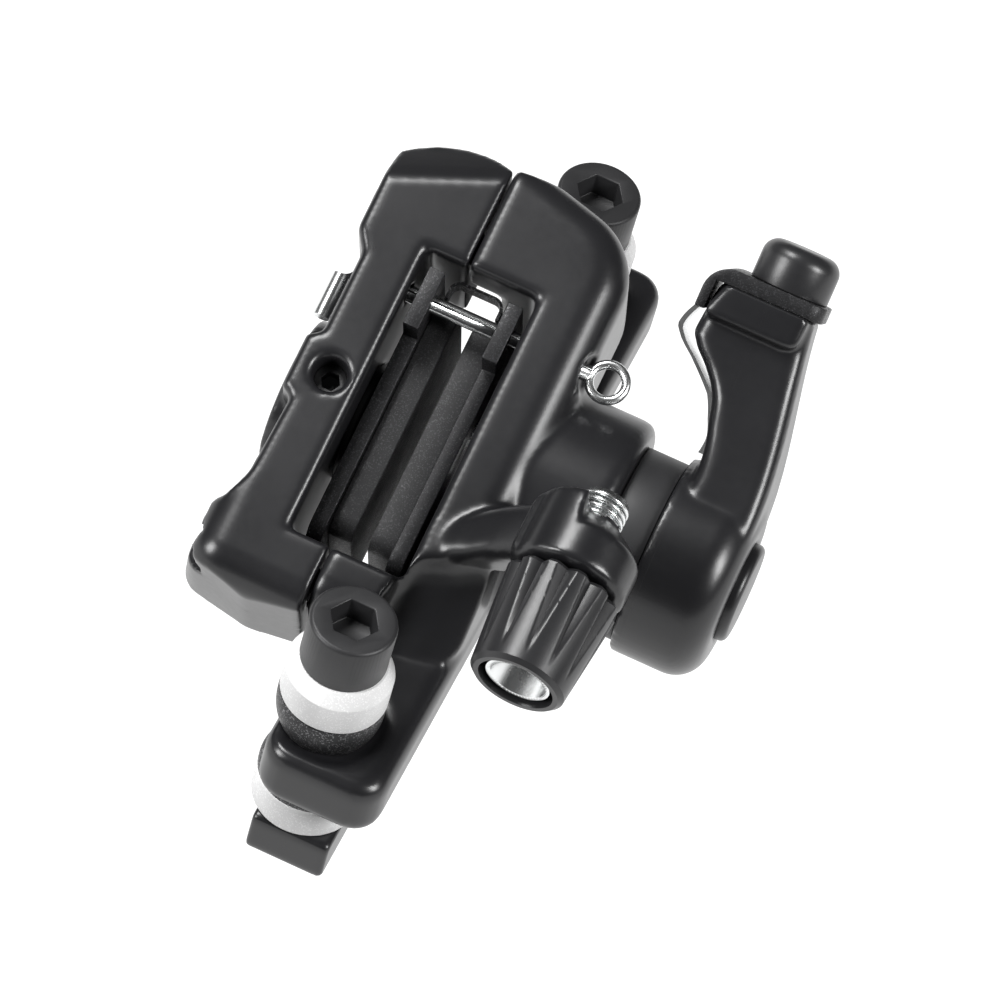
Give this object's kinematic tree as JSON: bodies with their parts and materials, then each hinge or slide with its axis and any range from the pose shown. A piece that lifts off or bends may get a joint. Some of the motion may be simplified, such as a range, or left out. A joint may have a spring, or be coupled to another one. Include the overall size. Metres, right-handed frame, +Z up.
{
  "type": "bicycle disc brake caliper",
  "caption": "Cable-pulled disc brake caliper with a split body, side lever, ball-ramp cam, pads, barrel adjuster and a bolted mount adapter.",
  "frame": {"origin": "On the adapter's mounting face, midway between its two tapped holes.", "axes": "+X out of the mounting face, across the rotor towards the lever; +Y along the line of the holes and mounting bolts; +Z up the mounting bolts, away from the frame."},
  "size_m": [0.0601, 0.0905, 0.0607],
  "materials": {
    "painted_alloy": "gloss",
    "black_plastic": "satin",
    "friction_material": "matte",
    "zinc_steel": "satin",
    "bright_steel": "satin",
    "black_steel": "satin"
  },
  "bodies": {
    "caliper": {"mount_adapter": "painted_alloy", "near_lower_washer": "zinc_steel", "far_lower_washer": "zinc_steel", "near_lower_bowl_washer": "black_steel", "far_lower_bowl_washer": "black_steel", "near_upper_bowl_washer": "black_steel", "far_upper_bowl_washer": "black_steel", "near_upper_washer": "zinc_steel", "far_upper_washer": "zinc_steel", "inner_body": "painted_alloy", "outer_body": "painted_alloy", "near_body_bolt": "black_steel", "far_body_bolt": "black_steel", "split_pin": "bright_steel", "pad_spring": "bright_steel", "locking_screw": "black_steel", "thrust_washer": "bright_steel", "dust_boot": "black_plastic", "return_spring": "bright_steel"},
    "lever": {"lever_arm": "painted_alloy", "cam_shaft": "black_steel", "axle_screw": "bright_steel", "axle_cap": "black_plastic", "pinch_plate": "black_steel", "cable_guide": "bright_steel"},
    "thrust_foot": {"thrust_foot": "black_steel", "ramp_balls": "bright_steel"},
    "moving_pad": {"moving_pad_plate": "black_steel", "moving_pad_lining": "friction_material"},
    "fixed_pad": {"fixed_pad_plate": "black_steel", "fixed_pad_lining": "friction_material"},
    "pad_adjuster": {"pad_adjuster": "black_steel"},
    "barrel_adjuster": {"adjuster_barrel": "zinc_steel", "adjuster_knob": "black_plastic"},
    "cable_bolt": {"cable_bolt": "black_steel", "bolt_cap": "black_steel"},
    "near_bolt": {"near_mounting_bolt": "black_steel"},
    "far_bolt": {"far_mounting_bolt": "black_steel"}
  },
  "joints": [
    {"name": "lever_turn", "type": "hinge", "parent": "caliper", "child": "lever", "pos_m": [-0.0116, 0.001, 0.0241], "axis": [1, 0, 0], "range_deg": [0, 30], "stiffness_Nm_per_rad": 0.35, "springref_deg": -34.38},
    {"name": "foot_slide", "type": "slide", "parent": "caliper", "child": "thrust_foot", "axis": [-1, 0, 0], "range_m": [0, 0.0006]},
    {"name": "moving_pad_slide", "type": "slide", "parent": "caliper", "child": "moving_pad", "axis": [-1, 0, 0], "range_m": [0, 0.0006]},
    {"name": "pad_adjuster_turn", "type": "hinge", "parent": "caliper", "child": "pad_adjuster", "pos_m": [-0.0116, 0.001, 0.0241], "axis": [1, 0, 0], "range_deg": [0, 216]},
    {"name": "fixed_pad_slide", "type": "slide", "parent": "caliper", "child": "fixed_pad", "axis": [1, 0, 0], "range_m": [0, 0.0006]},
    {"name": "barrel_turn", "type": "hinge", "parent": "caliper", "child": "barrel_adjuster", "pos_m": [0.0134, -0.02259, 0.0403], "axis": [0, 0.9703, 0.2419], "continuous": true},
    {"name": "cable_bolt_turn", "type": "hinge", "parent": "lever", "child": "cable_bolt", "pos_m": [0.0207, 0.02323, 0.04712], "axis": [0, 0.6947, 0.7193], "continuous": true},
    {"name": "near_bolt_turn", "type": "hinge", "parent": "caliper", "child": "near_bolt", "pos_m": [-0.0056, -0.037, 0.0307], "axis": [0, 0, 1], "continuous": true},
    {"name": "far_bolt_turn", "type": "hinge", "parent": "caliper", "child": "far_bolt", "pos_m": [-0.0056, 0.037, 0.0307], "axis": [0, 0, 1], "continuous": true}
  ],
  "couplings": [
    {"joint": "lever_turn", "follows": "foot_slide", "rad_per_m": 872.66},
    {"joint": "moving_pad_slide", "follows": "foot_slide", "ratio": 1},
    {"joint": "pad_adjuster_turn", "follows": "fixed_pad_slide", "rad_per_m": 6283.2}
  ]
}
